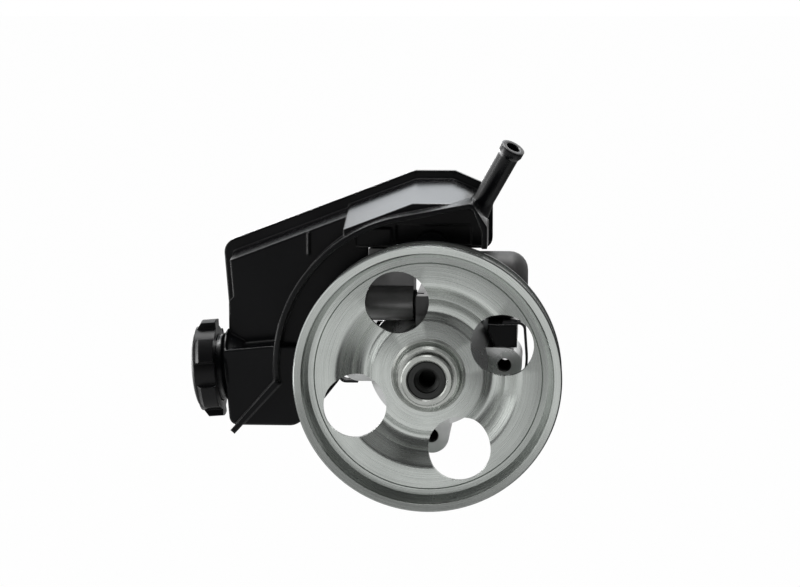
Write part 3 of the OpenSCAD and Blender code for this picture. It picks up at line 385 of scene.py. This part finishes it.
def spring_steel():
    return grainy("spring_steel", (0.03, 0.03, 0.032), (0.018, 0.018, 0.02), rough=0.36, metallic=0.6,
                  fine=1800.0, coarse=70.0, depth=1e-5)


def rubber():
    return grainy("rubber", (0.02, 0.02, 0.02), (0.013, 0.013, 0.013), rough=0.62, fine=2200.0, coarse=80.0)


def nylon():
    return grainy("nylon", (0.5, 0.43, 0.26), (0.42, 0.36, 0.21), rough=0.5, fine=1800.0, coarse=60.0)


# The nodes that wear each material; only the threads of the ears wear cut_thread

WEARERS = {
    zinc_plate: ["pulley"],
    zinc_hub: ["pulley_hub"],
    shaft_steel: ["pump_shaft"],
    ground_steel: ["bearing_outer_race", "bearing_inner_race", "cam_ring", "rotor", "wear_plate",
                   "pressure_plate", "rear_cover", "flow_spool"],
    bearing_steel: ["bearing_balls", "vanes", "dowel_pins"],
    die_cast: ["pump_housing"],
    cut_thread: [],
    dark_metal: ["valve_housing"],
    dark_metal_painted_lighter: ["suction_elbow"],
    black_plastic: ["reservoir_front", "reservoir_rear"],
    cap_plastic: ["filler_cap"],
    spring_steel: ["reservoir_clips", "bearing_circlip", "rotor_clip", "plate_spring", "cover_ring",
                   "valve_spring"],
    rubber: ["shaft_seal", "cover_seal", "valve_seal", "suction_seals", "cap_seal"],
    nylon: ["bearing_cage", "strainer"],
}


def dress_all():
    for make, names in WEARERS.items():
        made = make()
        for name in names:
            nodes[name].data.materials.clear()
            nodes[name].data.materials.append(made)


# Soft edges on the nodes

EDGE_MM = {"reservoir_front": 0.9, "reservoir_rear": 0.9, "filler_cap": 0.7, "pump_housing": 0.5,
           "suction_elbow": 0.5, "valve_housing": 0.4, "pulley": 0.0, "pulley_hub": 0.0}
SMALL_EDGE_MM = 0.15
SMOOTH_ANGLE = math.radians(34)


def round_edges(made, width):
    edge = made.modifiers.new("edge", "BEVEL")
    edge.width = width * MM
    edge.segments = 2
    edge.limit_method = "ANGLE"
    edge.angle_limit = SMOOTH_ANGLE


def soften():
    """Joins each node's triangles, rounds its edges a little and shades its curves smooth."""
    for name, made in nodes.items():
        for face in made.data.polygons:
            face.use_smooth = True
        weld = made.modifiers.new("weld", "WELD")
        weld.merge_threshold = 1e-6
        width = EDGE_MM.get(name, SMALL_EDGE_MM)
        if width:
            round_edges(made, width)
        split = made.modifiers.new("creases", "EDGE_SPLIT")
        split.split_angle = SMOOTH_ANGLE
        split.use_edge_sharp = False
        if width:
            made.modifiers.new("flats", "WEIGHTED_NORMAL")


# Screw threads, in millimetres

THREAD_STEPS = 32
NECK_LEAN = 4.5
BACKWARDS = (math.radians(-90), 0, 0)
ALONG_NECK = (0, math.radians(-90 - NECK_LEAN), 0)
EAR_REACH = 35
EAR_PLACES = [(EAR_REACH, 0), (-EAR_REACH, 0), (0, -EAR_REACH)]
EAR_FRONT = 0.9
SHAFT_FRONT = -42.4
OUTLET_PLACE = (36, 36.8, 36)
NECK_PLACE = (-104.3, 5, -3.25)


def ridge_outline(radius, ridge):
    """The small triangle that a thread sweeps, without its face."""
    bpy.ops.object.select_all(action="DESELECT")
    bpy.ops.mesh.primitive_circle_add(vertices=3, radius=ridge * MM, fill_type="NGON",
                                      location=(radius * MM, 0, 0), rotation=(math.radians(90), 0, 0))
    bpy.ops.object.transform_apply(location=True, rotation=True, scale=True)
    bpy.ops.object.mode_set(mode="EDIT")
    bpy.ops.mesh.select_all(action="SELECT")
    bpy.ops.mesh.delete(type="ONLY_FACE")
    bpy.ops.object.mode_set(mode="OBJECT")
    return bpy.context.object


def face_outwards():
    bpy.ops.object.mode_set(mode="EDIT")
    bpy.ops.mesh.select_all(action="SELECT")
    bpy.ops.mesh.normals_make_consistent(inside=False)
    bpy.ops.object.mode_set(mode="OBJECT")


def thread(name, body, finish, radius, pitch, ridge, length, start, turn):
    """A coil of small ridges on a wall of the given radius, drawn along +Z, then turned and moved."""
    coil = ridge_outline(radius, ridge)
    coil.name = name
    screw = coil.modifiers.new("coil", "SCREW")
    screw.axis = "Z"
    screw.screw_offset = pitch * MM
    screw.iterations = max(1, int(length / pitch))
    screw.steps = screw.render_steps = THREAD_STEPS
    bpy.ops.object.modifier_apply(modifier="coil")
    coil.location = Vector(start) * MM
    coil.rotation_euler = turn
    bpy.ops.object.transform_apply(location=True, rotation=True, scale=True)
    face_outwards()
    coil.data.materials.append(bpy.data.materials[finish])
    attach(coil, body)


def make_threads():
    """The threads of the ears, the shaft's end, the outlet and the filler neck."""
    for number, (x, z) in enumerate(EAR_PLACES, 1):
        thread(f"ear_thread_{number}", "base", "cut_thread", radius=3.45, pitch=1.25,
               ridge=0.5, length=36, start=(x, EAR_FRONT, z), turn=BACKWARDS)
    thread("shaft_thread", "rotating", "shaft_steel", radius=4.3, pitch=1.5, ridge=0.6, length=18,
           start=(0, SHAFT_FRONT, 0), turn=BACKWARDS)
    thread("outlet_thread", "base", "dark_metal", radius=7.3, pitch=1.5, ridge=0.6, length=9,
           start=OUTLET_PLACE, turn=BACKWARDS)
    thread("neck_thread", "base", "black_plastic", radius=15.95, pitch=4.0, ridge=0.35,
           length=4, start=NECK_PLACE, turn=ALONG_NECK)


# The valve's spring


def press_spring():
    """Gives the valve's spring a mesh of its own."""
    spring = nodes["valve_spring"]
    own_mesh(spring)


# Stage

FLOOR_Z = -0.14
FLOOR_SIZE = 400.0
FLOOR_GLOW = 0.985
BRIGHT_SIDE = (-0.5, 0.8, 0.25)
STRIP_SIDE = (0.0, 0.3, 0.954)
STRIP_LEVEL = 14.0
SOFT_LEVEL = 0.35


def light_paths(tree):
    """What the camera sees straight or through clear material, and what a reflection sees."""
    path = add_node(tree, "ShaderNodeLightPath").outputs
    straight = math_node(tree, "MAXIMUM", path["Is Camera Ray"], path["Is Transmission Ray"])
    return straight, path["Is Glossy Ray"]


def towards(tree, way, side):
    """How far a direction points to the given side."""
    made = add_node(tree, "ShaderNodeVectorMath", operation="DOT_PRODUCT")
    feed(tree, way, made.inputs[0])
    made.inputs[1].default_value = side
    return made.outputs["Value"]


def make_world():
    """White to the camera. In reflections it is white at the back and the left and dark towards the front
    right, with a bright strip above the back."""
    world = bpy.data.worlds.new("studio")
    bpy.context.scene.world = world
    world.use_nodes = True
    tree = world.node_tree
    tree.nodes.clear()
    straight, mirrored = light_paths(tree)
    way = add_node(tree, "ShaderNodeTexCoord").outputs["Generated"]
    broad = map_range(tree, towards(tree, way, BRIGHT_SIDE), -0.4, 0.6, 0.06, 1.0)
    strip = map_range(tree, towards(tree, way, STRIP_SIDE), 0.95, 0.985, 0.0, STRIP_LEVEL)
    beyond_soft = math_node(tree, "SUBTRACT", add(tree, broad, strip), SOFT_LEVEL)
    level = add(tree, times(tree, mirrored, beyond_soft), SOFT_LEVEL)
    glow = add_node(tree, "ShaderNodeBackground")
    glow.inputs["Color"].default_value = (1, 1, 1, 1)
    feed(tree, math_node(tree, "MAXIMUM", level, straight), glow.inputs["Strength"])
    out = add_node(tree, "ShaderNodeOutputWorld")
    feed(tree, glow.outputs[0], out.inputs[0])


def mirrored_floor(tree):
    """The floor in reflections: it darkens to the right, and a bright patch lies far to the left."""
    x, y, _ = object_xyz(tree)
    broad = times(tree, map_range(tree, y, -0.9, 0.0, 0.82, 0.85), map_range(tree, x, 0.0, 0.24, 1.0, 0.08))
    beside = times(tree, map_range(tree, x, -0.8, -0.5, 5.0, 0.0), map_range(tree, y, -0.2, -0.05, 0.0, 1.0))
    return add(tree, broad, beside)


def floor_finish():
    """Glows for the camera and in reflections; a small matt share keeps the object's shadow."""
    made = bpy.data.materials.new("floor")
    made.use_nodes = True
    tree = made.node_tree
    tree.nodes.clear()
    matt = add_node(tree, "ShaderNodeBsdfDiffuse")
    matt.inputs["Color"].default_value = (0.8, 0.8, 0.8, 1)
    straight, mirrored = light_paths(tree)
    glow = add_node(tree, "ShaderNodeEmission")
    feed(tree, add(tree, straight, times(tree, mirrored_floor(tree), mirrored)), glow.inputs["Strength"])
    mix = add_node(tree, "ShaderNodeMixShader")
    feed(tree, times(tree, math_node(tree, "MAXIMUM", straight, mirrored), FLOOR_GLOW), mix.inputs[0])
    feed(tree, matt.outputs[0], mix.inputs[1])
    feed(tree, glow.outputs[0], mix.inputs[2])
    out = add_node(tree, "ShaderNodeOutputMaterial")
    feed(tree, mix.outputs[0], out.inputs[0])
    return made


def make_floor():
    bpy.ops.object.select_all(action="DESELECT")
    bpy.ops.mesh.primitive_plane_add(size=FLOOR_SIZE, location=(0, 0, FLOOR_Z))
    floor = bpy.context.object
    floor.name = "floor"
    floor.data.materials.append(floor_finish())


def area_light(name, place, size, power, aim=(0, 0, 0), tint=(1, 1, 1)):
    data = bpy.data.lights.new(name, "AREA")
    data.shape = "RECTANGLE"
    data.size, data.size_y = size
    data.energy = power
    data.color = tint
    lamp = bpy.data.objects.new(name, data)
    bpy.context.scene.collection.objects.link(lamp)
    lamp.location = place
    lamp.rotation_euler = (Vector(aim) - Vector(place)).to_track_quat("-Z", "Y").to_euler()


def make_lights():
    area_light("key", (-1.15, -0.4, 0.45), (0.9, 0.9), 3)
    area_light("fill", (1.1, -1.0, 0.7), (1.4, 1.4), 1)
    area_light("top", (-0.1, -0.15, 1.2), (0.7, 0.3), 1)
    area_light("back", (-0.12, 0.95, 0.9), (0.8, 0.6), 1.6, aim=(0, 0, 0.07), tint=(0.86, 0.93, 1.0))


# Camera: the pulley's centre is seen at a given pixel, from a given distance and direction

IMAGE_W = 800
IMAGE_H = 587
PULLEY_PIXEL = (427.0, 380.0)
PULLEY_FRONT = Vector((0, -45 * MM, 0))
VIEW_ELEVATION = 9.7
VIEW_AZIMUTH = 3.0
VIEW_DISTANCE = 1.0
FOCAL_PIXELS = 2160
SENSOR_MM = 36


def make_camera():
    elevation, azimuth = math.radians(VIEW_ELEVATION), math.radians(VIEW_AZIMUTH)
    back = Vector((math.sin(azimuth) * math.cos(elevation), -math.cos(azimuth) * math.cos(elevation),
                   math.sin(elevation)))
    right = Vector((math.cos(azimuth), math.sin(azimuth), 0))
    up = back.cross(right)
    eye = PULLEY_FRONT + back * VIEW_DISTANCE
    pixel = VIEW_DISTANCE / FOCAL_PIXELS
    aim = (PULLEY_FRONT - right * (PULLEY_PIXEL[0] - IMAGE_W / 2) * pixel
           + up * (PULLEY_PIXEL[1] - IMAGE_H / 2) * pixel)
    data = bpy.data.cameras.new("camera")
    data.sensor_width = SENSOR_MM
    data.lens = FOCAL_PIXELS * SENSOR_MM / IMAGE_W
    data.clip_start = 0.01
    camera = bpy.data.objects.new("camera", data)
    bpy.context.scene.collection.objects.link(camera)
    camera.location = eye
    camera.rotation_euler = (aim - eye).to_track_quat("-Z", "Y").to_euler()
    bpy.context.scene.camera = camera


make_world()
make_floor()
make_lights()
make_camera()
dress_all()
soften()
make_threads()
press_spring()

bpy.context.scene.view_settings.view_transform = "Standard"
